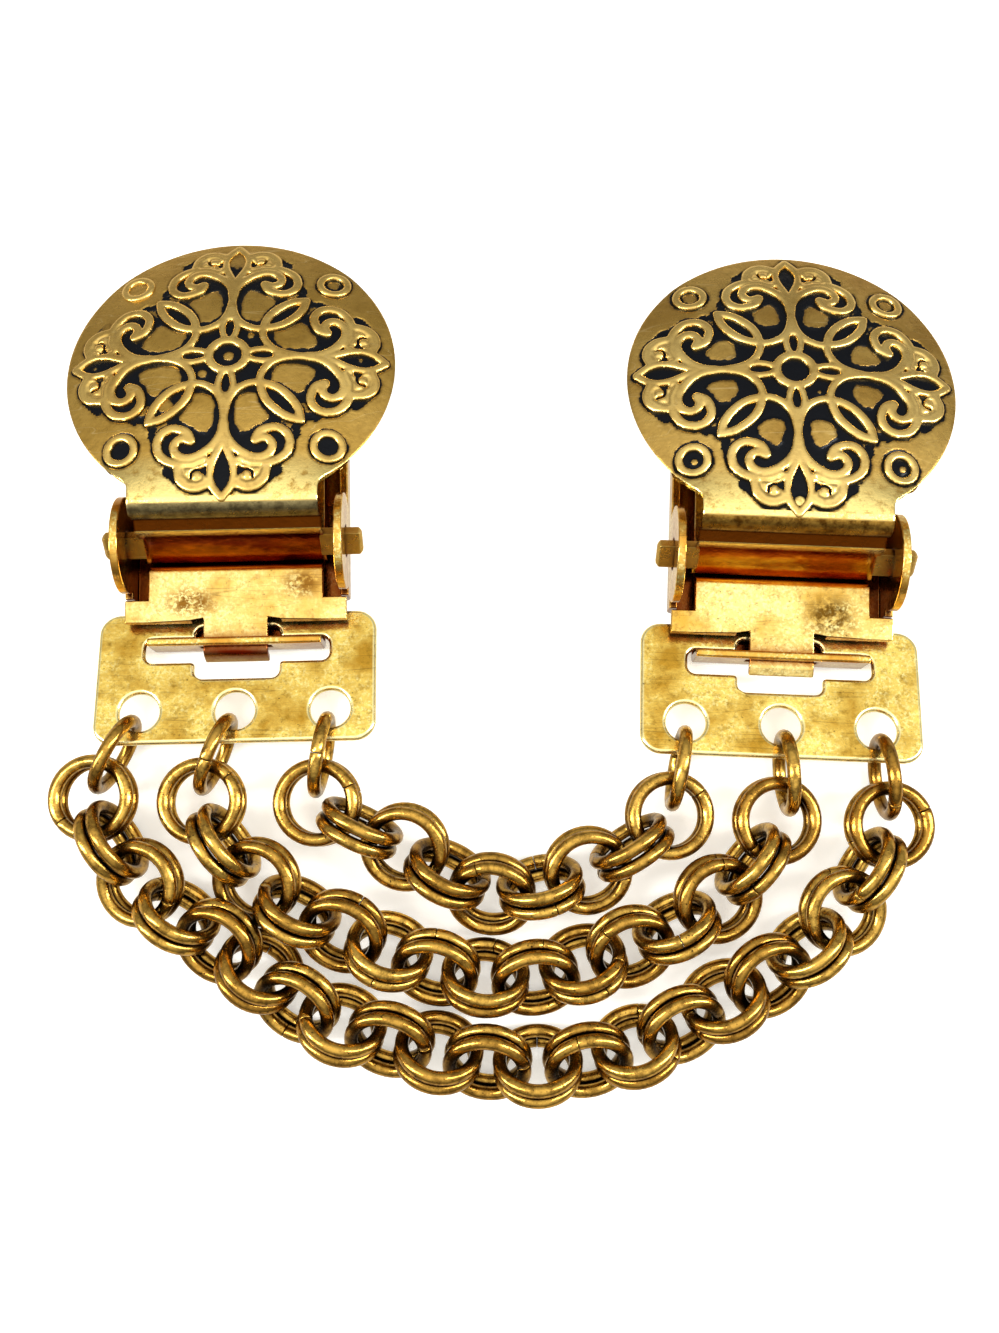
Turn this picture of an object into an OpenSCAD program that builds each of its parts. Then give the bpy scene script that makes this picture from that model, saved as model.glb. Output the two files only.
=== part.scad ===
// Sweater clip: two lever clips with round domed faces, hooked into slotted
// end plates that are joined by three strands of double-ring chain.
// It lies on a table: X to the right, Y away from the chain, Z up.

/* [Disc] */
// Diameter of the round face
disc_d = 31.8; // [28:0.2:36]
// Rise of the dome above its rim
dome_rise = 2.2; // [1.4:0.1:3]
// Slope of the face, down and away from the hinge
disc_tilt = 18; // [15:1:20]
// Distance from the hinge line to the middle of the face
disc_out = 16.9; // [15:0.1:19]
// Height of the cast ornament above the dome
relief_h = 0.25; // [0.15:0.05:0.5]
// Width of the ornament's raised lines
line_w = 0.6; // [0.4:0.05:0.8]

/* [Lever] */
// Thickness of the lever's sheet metal
lever_t = 0.8; // [0.6:0.1:1]
// Width of the neck between the cheeks
neck_w = 17.6; // [15:0.2:18.4]
// Height of the neck's crest above the hinge line
neck_rise = 6.5; // [6:0.1:8]
// Width of each hinge tab
tab_w = 2.6; // [2:0.1:3]
// Length of each hinge tab outside its cheek
tab_out = 1.6; // [1:0.1:2.5]
// Length of the cam's foot
foot_l = 1.2; // [0.6:0.1:1.8]

/* [Clip base] */
// Thickness of the base's sheet metal
base_t = 0.8; // [0.6:0.1:1]
// Diameter of the round cheeks
cheek_d = 9.3; // [9:0.1:11]
// Clear width between the cheeks
cheek_gap = 20.1; // [19.6:0.1:22]
// Length of the base from the hinge line to its front lip
base_front = 13.6; // [12:0.2:15]
// Height of the side walls
side_h = 3; // [2:0.1:3.6]
// Height of the front lip
lip_h = 1.8; // [1.4:0.1:2.4]
// Width of the upright hook wall
hook_w = 16.6; // [14:0.1:17]
// Height of the upright hook wall
hook_h = 4.8; // [4.6:0.1:6]

/* [Jaw plate] */
// Thickness of the jaw plate's sheet metal
jaw_t = 0.7; // [0.5:0.1:0.8]
// Width of the panel between the cheeks
panel_w = 16.9; // [14:0.1:18]
// Width of the panel beyond the cheeks
shoulder_w = 21.4; // [19:0.1:24]
// Distance from the hinge line to the panel's near edge
panel_start = 2; // [1.8:0.1:2.4]
// Distance from the hinge line to the panel's shoulders
shoulder_at = 5; // [4.8:0.1:5.6]
// Width of the tongue
tongue_w = 6.2; // [4:0.1:7]

/* [End plate] */
// Width of the end plate
plate_w = 26.9; // [25.6:0.1:32]
// Length of the end plate from the bar to its far edge
plate_l = 13.3; // [12.8:0.1:16]
// Thickness of the end plate
plate_t = 0.8; // [0.6:0.1:1]
// Radius of the end plate's corners
plate_r = 2; // [1:0.1:3]
// Slope of the end plate, up towards the chain
plate_tilt = 12; // [10:0.5:14]
// Width of the bar that the clip hooks round
bar_w = 2.7; // [2.2:0.1:2.8]
// Clear height of the slot
slot_h = 2.4; // [2.2:0.1:2.8]
// Width of the notch that crosses the slot
notch_w = 8.2; // [7.6:0.1:10]
// Depth of the notch on the bar's side
notch_up = 1.2; // [0.6:0.1:1.4]
// Depth of the notch on the chain's side
notch_down = 1.7; // [1:0.1:2.2]
// Diameter of the three chain holes
hole_d = 3.8; // [3.4:0.1:4]
// Distance between the chain holes
hole_pitch = 9.1; // [8.7:0.1:9.6]
// Metal left between a chain hole and the far edge
hole_web = 1.3; // [1:0.1:1.5]

/* [Chain] */
// Outer diameter of every ring
ring_d = 8.3; // [8.2:0.05:8.5]
// Thickness of the ring wire
wire_d = 1.3; // [1.1:0.05:1.35]
// Distance between links along a strand
link_pitch = 4.8; // [4.7:0.05:4.85]
// Tilt of the links to either side once a strand lies at rest
link_tilt = 45; // [42:1:48]

/* [Fit] */
// Clearance between pieces that lie on each other
seat_gap = 0.12; // [0.1:0.01:0.2]
// Clearance of the lever's tabs in the cheeks
tab_gap = 0.2; // [0.15:0.05:0.4]
// Play of the hook in the slot, at each end
hook_play = 0.6; // [0.4:0.1:1]
// Free height for the bar inside the hook
hook_room = 2.2; // [2.1:0.1:2.6]

/* [Hidden] */
$fn = 64;

// Where each clip's hinge line stands on the table, and how it is turned
LEFT = [-26.1, 10.5, 1.3];
RIGHT = [27.0, 9.0, -2.4];
// Turn of each jump ring away from the end plate's own direction
LEFT_RING_TURNS = [-28, -22, -10];
RIGHT_RING_TURNS = [-8, 6, 8];
// How far each jump ring's middle lies beyond the end plate's edge
ring_reach = 1.35;

// Chosen points of each strand between its two jump rings
OUTER_ROUTE = [[-38.7, -14.2], [-35.5, -20], [-31, -24.5], [-24.5, -28.5], [-18, -33.5],
               [-9, -36.5], [1.2, -38.4], [10.6, -37.2], [20.5, -32.5], [28.5, -27.5],
               [33.5, -21.5], [36.2, -16]];
MIDDLE_ROUTE = [[-28.5, -14.2], [-26.1, -18.6], [-21, -23.4], [-14.3, -26.6], [-6, -29.7],
                [2, -30.6], [8.5, -28.8], [17, -25.3], [23.1, -20.1], [26, -14.9]];
INNER_ROUTE = [[-17.8, -14], [-14.5, -16.3], [-10.3, -18], [-6.7, -20], [-2.3, -22.7],
               [2.7, -22.3], [8.1, -20.5], [12.8, -17.9], [15.9, -14.9]];

gold = "#d8b04a";
pale_gold = "#e6c766";
satin_gold = "#c9a45c";
old_gold = "#a8823a";

sin_tilt = sin(disc_tilt);
cos_tilt = cos(disc_tilt);
disc_r = disc_d / 2;
dome_r = (disc_r * disc_r + dome_rise * dome_rise) / (2 * dome_rise);
dome_drop = dome_r - dome_rise;
hinge_z = base_t / 2 + cheek_d / 2;
crest_z = hinge_z + neck_rise;
rim_z = crest_z - dome_r + cos_tilt * dome_drop;
half_gap = cheek_gap / 2;
base_w = cheek_gap + 2 * base_t;

ring_r = (ring_d - wire_d) / 2;
twin = wire_d + seat_gap;
lift = seat_gap / 2;

// Lengths of the panel and of the tongue up to the hook wall
panel_l = 5.35;
tongue_l = 1.65;
// Play between the jaw plate and the front lip
lip_play = 0.4;
// The hook: floor, bar, tongue and wall from the bottom up
tongue_z = base_t + hook_room;
bar_z = base_t + hook_room / 2 - seat_gap;
hook_at = panel_start + panel_l + tongue_l;
bar_at = hook_at - seat_gap - bar_w / 2;
jaw_front = base_front - base_t - lip_play;

// Side view of the lever from the neck down to the cam's foot
bend_r = 1.2;
neck_from = disc_out - 3;
neck_at = 1.7;
neck_sink = 0.3;
knee_drop = 1.1;
neck_z = crest_z - lever_t / 2 - neck_sink;
knee = [neck_at, neck_z - bend_r - knee_drop];
sheet_turn = atan2(knee[1] - hinge_z, knee[0]);
cam_r = 0.8;
jaw_top = base_t + seat_gap + jaw_t;
cam_z = jaw_top + seat_gap + lever_t / 2 + cam_r;
cam_start = cam_z + cam_r * cos(sheet_turn) - hinge_z;
cam_y = cam_start / tan(sheet_turn) + cam_r * sin(sheet_turn);
LEVER_PATH = concat(
    [[neck_at + 3 * bend_r, neck_z]],
    arc([neck_at + bend_r, neck_z - bend_r], bend_r, 90, 180),
    [knee],
    arc([cam_y, cam_z], cam_r, 90 + sheet_turn, 270),
    [[cam_y + foot_l, cam_z - cam_r]]);
tab_bore = norm([tab_w, lever_t]) + 2 * tab_gap;

// Side view of the base: front lip, floor and upright hook wall
BASE_PATH = [[base_front - base_t / 2, lip_h],
             [base_front - base_t / 2, base_t / 2],
             [-hook_at - base_t / 2, base_t / 2],
             [-hook_at - base_t / 2, hook_h]];
// Play of the tongue in its window, to each side and up and down
window_side = 0.3;
window_rise = 0.25;

// Side view of the jaw plate: front, floor, riser and panel
panel_z = tongue_z + jaw_t / 2;
jaw_z = base_t + seat_gap + jaw_t / 2;
panel_end = hook_at - tongue_l;
riser_run = 1.1;
riser_in = 0.2;
JAW_PATH = [[jaw_front, jaw_z],
            [riser_run - riser_in - panel_start, jaw_z],
            [-panel_start - riser_in, panel_z],
            [-panel_end, panel_z]];
// The tongue runs through the window, and its tip bends down outside
tip_out = 0.5;
tip_run = 0.8;
tip_drop = 0.35;
TONGUE_PATH = [[-panel_end + tip_out, panel_z],
               [-hook_at - base_t - tip_out, panel_z],
               [-hook_at - base_t - tip_out - tip_run, panel_z - tip_drop]];

// Outline of a sheet of even thickness along a bent path, mitred at its bends
function unit(v) = v / norm(v);
function turned(v) = [-v[1], v[0]];
function side(path, i) =
    let (n = len(path),
         a = i > 0 ? turned(unit(path[i] - path[i - 1])) : turned(unit(path[1] - path[0])),
         b = i < n - 1 ? turned(unit(path[i + 1] - path[i])) : a,
         m = unit(a + b))
    m / (m * a);
function sheet(path, t) =
    let (n = len(path))
    concat([for (i = [0:n - 1]) path[i] + side(path, i) * t / 2],
           [for (i = [n - 1:-1:0]) path[i] - side(path, i) * t / 2]);
function arc(centre, r, from, to, steps = 6) =
    [for (i = [0:steps]) let (a = from + (to - from) * i / steps)
        centre + r * [cos(a), sin(a)]];

// Stands a side view, drawn as [y, z], across the clip
module across(width) {
    rotate([90, 0, 90])
        linear_extrude(height = width, center = true)
            children();
}

module at_clip(place) {
    translate([place[0], place[1], 0])
        rotate([0, 0, place[2]])
            children();
}

// The frame of the disc: its rim circle lies in the plane z = 0
module at_disc() {
    translate([0, disc_out, rim_z])
        rotate([-disc_tilt, 0, 0])
            children();
}

// Raises a flat motif on the dome, square to it, at u and v from the middle
module raised(u, v) {
    r = norm([u, v]);
    around = atan2(v, u);
    sink = lever_t / 2;
    translate([0, 0, -dome_drop])
        rotate([0, 0, around])
            rotate([0, asin(r / dome_r), 0])
                rotate([0, 0, -around])
                    translate([0, 0, dome_r - sink])
                        linear_extrude(height = sink + relief_h)
                            children();
}

module ring_line(r, w) {
    difference() {
        circle(r = r + w / 2);
        circle(r = r - w / 2);
    }
}

// A pointed oval, upright, as the overlap of two circles
module pointed_oval(half_l, half_w) {
    r = (half_l * half_l + half_w * half_w) / (2 * half_w);
    intersection() {
        translate([half_w - r, 0]) circle(r = r, $fn = 96);
        translate([r - half_w, 0]) circle(r = r, $fn = 96);
    }
}

module oval_line(half_l, half_w, w) {
    difference() {
        pointed_oval(half_l, half_w);
        pointed_oval(half_l - 1.6 * w, half_w - w);
    }
}

// A ring line with a gap that starts at one angle and spans another
module open_ring(r, w, gap_from, gap) {
    far = 3 * r;
    difference() {
        ring_line(r, w);
        polygon([[0, 0], far * [cos(gap_from), sin(gap_from)],
                 far * [cos(gap_from + gap / 2), sin(gap_from + gap / 2)],
                 far * [cos(gap_from + gap), sin(gap_from + gap)]]);
    }
}

// The ornament's places, as shares of the disc's radius
module ornament() {
    k = disc_r;
    raised(0, 0) ring_line(0.105 * k, line_w);
    for (turn = [0:90:270]) {
        rotate([0, 0, turn]) {
            raised(0, 0.21 * k) oval_line(0.085 * k, 0.05 * k, line_w / 2);
            raised(0, 0.46 * k) square([line_w, 0.34 * k], center = true);
            raised(0, 0.785 * k) oval_line(0.17 * k, 0.085 * k, line_w * 0.8);
            raised(0.615 * k, 0.61 * k) ring_line(0.082 * k, line_w);
            raised(0.337 * k, 0.337 * k)
                rotate(-45)
                    oval_line(0.18 * k, 0.09 * k, line_w);
            for (hand = [0, 1]) {
                mirror([hand, 0, 0]) {
                    raised(0.21 * k, 0.43 * k) open_ring(0.19 * k, line_w, 258, 202);
                    raised(0.29 * k, 0.62 * k) open_ring(0.105 * k, line_w, 150, 60);
                    raised(0.19 * k, 0.81 * k) open_ring(0.07 * k, line_w * 0.8, 170, 120);
                }
            }
        }
    }
}

// A ball that the dome is cut from, with its poles out to the sides
module ball(r) {
    translate([0, 0, -dome_drop])
        rotate([0, 90, 0])
            sphere(r = r, $fn = 160);
}

// The domed disc without its ornament, in the frame of the disc
module dome() {
    rim_drop = 3 * lever_t;
    cover = 2 * disc_d;
    intersection() {
        difference() {
            ball(dome_r);
            ball(dome_r - lever_t);
        }
        union() {
            translate([0, 0, -rim_drop]) cylinder(d = disc_d, h = cover, $fn = 128);
            translate([-neck_w / 2, -neck_from / cos_tilt, -rim_drop])
                cube([neck_w, disc_r / 2, cover]);
        }
    }
}

module lever() {
    color(satin_gold)
        union() {
            at_disc() {
                dome();
                ornament();
            }
            across(neck_w) polygon(sheet(LEVER_PATH, lever_t));
            translate([0, 0, hinge_z])
                rotate([sheet_turn, 0, 0])
                    cube([base_w + 2 * tab_out, tab_w, lever_t], center = true);
        }
}

module clip_base() {
    window_w = tongue_w + 2 * window_side;
    side_from = shoulder_at - seat_gap;
    color(gold)
        difference() {
            union() {
                across(hook_w) polygon(sheet(BASE_PATH, base_t));
                translate([-base_w / 2, -side_from, 0])
                    cube([base_w, side_from + base_front, base_t]);
                for (hand = [0, 1]) {
                    mirror([hand, 0, 0])
                        translate([half_gap, 0, 0]) {
                            translate([0, -side_from, 0])
                                cube([base_t, side_from + base_front, side_h]);
                            translate([0, 0, hinge_z])
                                rotate([0, 90, 0])
                                    cylinder(d = cheek_d, h = base_t);
                        }
                }
            }
            // Bores for the lever's tabs
            translate([-base_w, 0, hinge_z])
                rotate([0, 90, 0])
                    cylinder(d = tab_bore, h = 2 * base_w);
            // Window for the tongue
            translate([-window_w / 2, -hook_at - 2 * base_t, tongue_z - window_rise])
                cube([window_w, 3 * base_t, jaw_t + 2 * window_rise]);
        }
}
module jaw_plate() {
    notch_beside = 1.2;
    turned_w = (shoulder_w - tongue_w) / 2 - notch_beside;
    color(pale_gold)
        union() {
            across(panel_w) polygon(sheet(JAW_PATH, jaw_t));
            translate([-shoulder_w / 2, -panel_end, tongue_z])
                cube([shoulder_w, panel_end - shoulder_at - seat_gap, jaw_t]);
            across(tongue_w) polygon(sheet(TONGUE_PATH, jaw_t));
            // Front edge and the panel's turned down far edges
            translate([-panel_w / 2, jaw_front - jaw_t, jaw_z])
                cube([panel_w, jaw_t, lip_h - jaw_z]);
            for (hand = [0, 1]) {
                mirror([hand, 0, 0])
                    translate([-shoulder_w / 2, -panel_end, tongue_z - jaw_t / 2])
                        cube([turned_w, jaw_t, jaw_t]);
            }
        }
}

// The end plate's own frame: y = 0 at the middle of the bar, z = 0 at mid thickness
module at_plate(place) {
    at_clip(place)
        translate([0, -bar_at, bar_z])
            rotate([-plate_tilt, 0, 0])
                children();
}

module end_plate() {
    slot_w = hook_w + 2 * hook_play;
    slot_far = -bar_w / 2 - slot_h;
    hole_y = bar_w / 2 - plate_l + hole_web + hole_d / 2;
    color(gold)
        translate([0, 0, -plate_t / 2])
            difference() {
                translate([-plate_w / 2 + plate_r, bar_w / 2 - plate_l + plate_r, 0])
                    rounded([plate_w - 2 * plate_r, plate_l - 2 * plate_r], plate_r, plate_t);
                translate([-slot_w / 2, slot_far, -plate_t])
                    cube([slot_w, slot_h, 3 * plate_t]);
                translate([-notch_w / 2, slot_far - notch_down, -plate_t])
                    cube([notch_w, notch_down + slot_h + notch_up, 3 * plate_t]);
                for (i = [-1:1]) {
                    translate([i * hole_pitch, hole_y, -plate_t])
                        cylinder(d = hole_d, h = 3 * plate_t);
                }
            }
}

// A plate with round corners, from the middle of its first corner
module rounded(size, r, h) {
    translate([0, -r, 0]) cube([size[0], size[1] + 2 * r, h]);
    translate([-r, 0, 0]) cube([size[0] + 2 * r, size[1], h]);
    for (x = [0, size[0]], y = [0, size[1]]) {
        translate([x, y, 0]) cylinder(r = r, h = h);
    }
}

module ring() {
    rotate_extrude($fn = 64)
        translate([ring_r, 0])
            circle(d = wire_d, $fn = 24);
}

// Middle of a jump ring: outside the end plate's edge, standing on the table
function ring_middle(place, i, turns) =
    let (edge = -bar_at - (plate_l - bar_w / 2) * cos(plate_tilt),
         swing = turns[i],
         reach = ring_reach + hole_web + hole_d / 2,
         x = (i - 1) * hole_pitch + reach * sin(swing),
         y = edge + hole_web + hole_d / 2 - reach * cos(swing))
    [place[0] + x * cos(place[2]) - y * sin(place[2]),
     place[1] + x * sin(place[2]) + y * cos(place[2])];

module jump_ring(place, i, turns) {
    middle = ring_middle(place, i, turns);
    color(old_gold)
        translate([middle[0], middle[1], ring_d / 2 + lift])
            rotate([0, 0, place[2] + turns[i]])
                rotate([0, 90, 0])
                    ring();
}

// A smooth curve through the chosen points, with its running length
CURVE_STEPS = 16;
function bent(a, b, c, d, t) =
    (2 * b + (c - a) * t + (2 * a - 5 * b + 4 * c - d) * t * t
        + (3 * b - a - 3 * c + d) * t * t * t) / 2;
function curve(pts) =
    let (n = len(pts),
         p = concat([2 * pts[0] - pts[1]], pts, [2 * pts[n - 1] - pts[n - 2]]))
    concat([for (i = [1:n - 1], j = [0:CURVE_STEPS - 1])
        bent(p[i - 1], p[i], p[i + 1], p[i + 2], j / CURVE_STEPS)], [pts[n - 1]]);
function lengths(c) =
    [for (i = 0, s = 0; i < len(c); i = i + 1, s = i < len(c) ? s + norm(c[i] - c[i - 1]) : s) s];
function along(c, s, at) =
    [lookup(at, [for (i = [0:len(c) - 1]) [s[i], c[i][0]]]),
     lookup(at, [for (i = [0:len(c) - 1]) [s[i], c[i][1]]])];

// Tilt of link k of n: upright at both ends, settling to link_tilt
SETTLE = 6;
function settled(k, n) = link_tilt * min(1, min(k, n - k) / SETTLE);
function tilt(k, n) = (k % 2 == 0 ? 90 : 0) - settled(k, n);
function half_height(a) = ring_r * abs(sin(a)) + twin / 2 * abs(cos(a)) + wire_d / 2 + lift;
function link_z(k, n) =
    max([for (i = [max(0, k - 1):min(n, k + 1)]) half_height(tilt(i, n))]);

// One strand: pairs of rings at even steps between two jump rings
module strand(from, route, to) {
    c = curve(concat([from], route, [to]));
    s = lengths(c);
    total = s[len(s) - 1];
    n = 2 * round(total / link_pitch / 2);
    spots = [for (k = [0:n]) along(c, s, total * k / n)];
    color(old_gold)
        for (k = [1:n - 1]) {
            ahead = spots[k + 1] - spots[k - 1];
            translate([spots[k][0], spots[k][1], link_z(k, n)])
                rotate([0, 0, atan2(ahead[1], ahead[0])])
                    rotate([-tilt(k, n), 0, 0])
                        for (half = [-twin / 2, twin / 2]) {
                            translate([0, 0, half]) ring();
                        }
        }
}

module left_end_plate() { at_plate(LEFT) end_plate(); }
module right_end_plate() { at_plate(RIGHT) end_plate(); }
module left_clip_base() { at_clip(LEFT) clip_base(); }
module right_clip_base() { at_clip(RIGHT) clip_base(); }
module left_jaw_plate() { at_clip(LEFT) jaw_plate(); }
module right_jaw_plate() { at_clip(RIGHT) jaw_plate(); }
module left_lever() { at_clip(LEFT) lever(); }
module right_lever() { at_clip(RIGHT) lever(); }
module left_jump_ring(i) { jump_ring(LEFT, i, LEFT_RING_TURNS); }
module right_jump_ring(i) { jump_ring(RIGHT, i, RIGHT_RING_TURNS); }
module strand_outer() {
    strand(ring_middle(LEFT, 0, LEFT_RING_TURNS), OUTER_ROUTE,
           ring_middle(RIGHT, 2, RIGHT_RING_TURNS));
}
module strand_middle() {
    strand(ring_middle(LEFT, 1, LEFT_RING_TURNS), MIDDLE_ROUTE,
           ring_middle(RIGHT, 1, RIGHT_RING_TURNS));
}
module strand_inner() {
    strand(ring_middle(LEFT, 2, LEFT_RING_TURNS), INNER_ROUTE,
           ring_middle(RIGHT, 0, RIGHT_RING_TURNS));
}

left_end_plate();
right_end_plate();
left_jump_ring(0);  // left_jump_ring_1
left_jump_ring(1);  // left_jump_ring_2
left_jump_ring(2);  // left_jump_ring_3
right_jump_ring(0);  // right_jump_ring_1
right_jump_ring(1);  // right_jump_ring_2
right_jump_ring(2);  // right_jump_ring_3
strand_outer();
strand_middle();
strand_inner();
left_clip_base();
left_jaw_plate();
left_lever();
right_clip_base();
right_jaw_plate();
right_lever();
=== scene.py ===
"""Sweater clip: two gold lever clips with enamelled faces, joined by three strands of chain.

The clips, end plates, rings and chain are modelled in millimetres, each clip in its own
frame (x across, y from the hinge line to the face, z up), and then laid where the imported
frame has them.
"""
import math
import random

import bpy
import numpy as np
from mathutils import Matrix, Vector


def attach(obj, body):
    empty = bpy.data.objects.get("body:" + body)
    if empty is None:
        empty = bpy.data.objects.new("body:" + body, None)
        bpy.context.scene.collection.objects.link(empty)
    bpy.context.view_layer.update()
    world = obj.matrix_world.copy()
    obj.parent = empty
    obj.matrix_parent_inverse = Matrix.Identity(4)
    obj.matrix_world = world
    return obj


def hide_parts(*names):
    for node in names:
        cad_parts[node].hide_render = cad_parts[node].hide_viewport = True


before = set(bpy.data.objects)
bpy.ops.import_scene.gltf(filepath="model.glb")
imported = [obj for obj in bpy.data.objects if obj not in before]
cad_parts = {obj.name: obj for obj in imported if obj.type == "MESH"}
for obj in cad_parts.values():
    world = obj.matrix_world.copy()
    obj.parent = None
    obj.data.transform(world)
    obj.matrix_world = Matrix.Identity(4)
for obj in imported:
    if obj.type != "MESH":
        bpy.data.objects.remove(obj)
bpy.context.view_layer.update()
bpy.ops.object.select_all(action="DESELECT")

MM = 0.001
# Two points this near, in mm, count as level with each other
NEAR = 1e-4

# Where each clip's hinge line stands on the table, and how it is turned
PLACES = {"left": (-26.1, 10.5, 1.3), "right": (27.0, 9.0, -2.4)}
RING_TURNS = {"left": (-28, -22, -10), "right": (-8, 6, 8)}

# Chosen points of each strand between its two jump rings
ROUTES = {
    "outer": [(-38.7, -14.2), (-35.5, -20), (-31, -24.5), (-24.5, -28.5), (-18, -33.5),
              (-9, -36.5), (1.2, -38.4), (10.6, -37.2), (20.5, -32.5), (28.5, -27.5),
              (33.5, -21.5), (36.2, -16)],
    "middle": [(-28.5, -14.2), (-26.1, -18.6), (-21, -23.4), (-14.3, -26.6), (-6, -29.7),
               (2, -30.6), (8.5, -28.8), (17, -25.3), (23.1, -20.1), (26, -14.9)],
    "inner": [(-17.8, -14), (-14.5, -16.3), (-10.3, -18), (-6.7, -20), (-2.3, -22.7),
              (2.7, -22.3), (8.1, -20.5), (12.8, -17.9), (15.9, -14.9)],
}
# Which jump ring each strand hangs on, at the left and at the right plate
STRAND_ENDS = {"outer": (0, 2), "middle": (1, 1), "inner": (2, 0)}

# Sizes in mm, as the solids have them: the round face, the sheet and the neck
DISC_R = 15.9
DOME_RISE = 2.2
DISC_TILT = math.radians(18)
DISC_OUT = 16.9
SHEET_T = 0.8
NECK_W = 17.6
# The base: a channel with round cheeks, a front lip and the hook wall behind
CHEEK_R = 4.65
CHEEK_GAP = 20.1
HINGE_Z = SHEET_T / 2 + CHEEK_R
CREST_Z = HINGE_Z + 6.5
BASE_W = CHEEK_GAP + 2 * SHEET_T
BASE_FRONT = 13.6
SIDE_H = 3.0
SIDE_FROM = 4.88
HOOK_W = 16.6
HOOK_H = 4.8
HOOK_AT = 9.0
# The jaw plate: its tongue, panel, shoulders and turned-up front
JAW_T = 0.7
TONGUE_Z = 3.0
PANEL_END = 7.35
PANEL_W = 16.9
SHOULDER_W = 21.4
SHOULDER_AT = 5.12
TONGUE_W = 6.2
# How far the tongue's end reaches beyond the hook, and how far it drops
TONGUE_RUN = {"left": 1.0, "right": 1.3}
TONGUE_DROP = {"left": 1.3, "right": 0.35}
# The jaw plate's floor and front, and the height of both front lips
JAW_Z = 1.27
JAW_FRONT = 12.4
LIP_H = 1.8
# The end plate: its bar, slot, notch and three holes
BAR_W = 2.7
BAR_AT = HOOK_AT - 0.12 - BAR_W / 2
BAR_Z = 1.78
PLATE_W = 26.9
PLATE_L = 13.3
PLATE_TILT = math.radians(12)
SLOT_W = 17.8
SLOT_H = 2.4
NOTCH_W = 8.2
NOTCH_UP = 1.2
NOTCH_DOWN = 1.7
HOLE_R = 1.9
HOLE_PITCH = 9.1
HOLE_WEB = 1.3
# Rings of round wire, how far apart their pairs lie along a strand, and how far they lean
RING_D = 8.3
WIRE_D = 1.3
LINK_PITCH = 4.8
LINK_TILT = 45
# Over how many pairs a strand turns from standing to leaning, and the air under a ring
SETTLE = 6
SEAT = 0.12
# From a hole's middle to its ring's middle, which lies 1.35 past the plate's edge
RING_REACH = 1.35 + HOLE_WEB + HOLE_R

# How far edges are rolled over: on base and jaw plate, end plate, hinge tabs, wire ends
EDGE_R = 0.14
PLATE_EDGE_R = 0.385
TAB_EDGE_R = 0.1
WIRE_EDGE_R = 0.09
# Radii of corners and bends in the sheet
PLATE_CORNER_R = 2.0
SLOT_CORNER_R = 0.8
HOOK_CORNER_R = 0.3
TAB_CORNER = 0.28
FOLD_R = 0.5
HOOK_BEND_R = 0.8
JAW_BEND_R = 0.55
TONGUE_BEND_R = 0.5
# The hinge bar's hole, the tongue's play in its window, sideways and in height, and the
# notches beside the tongue
HINGE_HOLE_R = 1.56
WINDOW_PLAY = (0.3, 0.25)
TONGUE_NOTCH = 1.2
# Where the jaw plate rises from its floor to its panel
RISER = (-1.1, -2.2)
# The cut in a ring of wire, in degrees of its turn, and how far rings are out of round
RING_CUT = 0.5
OUT_OF_ROUND = 0.008

RING_R = (RING_D - WIRE_D) / 2
TWIN = WIRE_D + SEAT
DOME_R = (DISC_R ** 2 + DOME_RISE ** 2) / (2 * DOME_RISE)
DOME_DROP = DOME_R - DOME_RISE
RIM_Z = CREST_Z - DOME_R + math.cos(DISC_TILT) * DOME_DROP


# Modelling helpers

def select_only(obj):
    bpy.ops.object.select_all(action="DESELECT")
    obj.select_set(True)
    bpy.context.view_layer.objects.active = obj


def apply_modifier(obj, kind, **settings):
    modifier = obj.modifiers.new(kind, kind)
    for name, value in settings.items():
        setattr(modifier, name, value)
    select_only(obj)
    bpy.ops.object.modifier_apply(modifier=modifier.name)


def block(low, high):
    """A box between two corners."""
    middle = [(a + b) / 2 for a, b in zip(low, high)]
    size = [b - a for a, b in zip(low, high)]
    bpy.ops.mesh.primitive_cube_add(size=1, location=middle, scale=size)
    bpy.ops.object.transform_apply(location=True, rotation=True, scale=True)
    return bpy.context.active_object


def rod(radius, start, end, sides):
    """A round rod between two points."""
    a, b = Vector(start), Vector(end)
    turn = (b - a).to_track_quat("Z", "Y").to_euler()
    bpy.ops.mesh.primitive_cylinder_add(
        vertices=sides, radius=radius, depth=(b - a).length, location=(a + b) / 2, rotation=turn)
    bpy.ops.object.transform_apply(location=True, rotation=True, scale=True)
    return bpy.context.active_object


def cut(obj, tool):
    """The piece less the tool, which is used up."""
    apply_modifier(obj, "BOOLEAN", object=tool, operation="DIFFERENCE", solver="EXACT")
    bpy.data.objects.remove(tool)
    return obj


def select_edges(obj, wanted):
    """Selects the edges that the test holds for, by their two ends."""
    select_only(obj)
    bpy.ops.object.mode_set(mode="EDIT")
    bpy.ops.mesh.select_mode(type="EDGE")
    bpy.ops.mesh.select_all(action="DESELECT")
    bpy.ops.object.mode_set(mode="OBJECT")
    points = obj.data.vertices
    for edge in obj.data.edges:
        edge.select = wanted(*(points[i].co for i in edge.vertices))
    bpy.ops.object.mode_set(mode="EDIT")


def round_corners(obj, radius, segments, wanted):
    """Rounds the edges that the test holds for."""
    select_edges(obj, wanted)
    bpy.ops.mesh.bevel(offset=radius, segments=segments, affect="EDGES")
    bpy.ops.object.mode_set(mode="OBJECT")


def upright(a, b):
    return abs(a.x - b.x) < NEAR and abs(a.y - b.y) < NEAR


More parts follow.
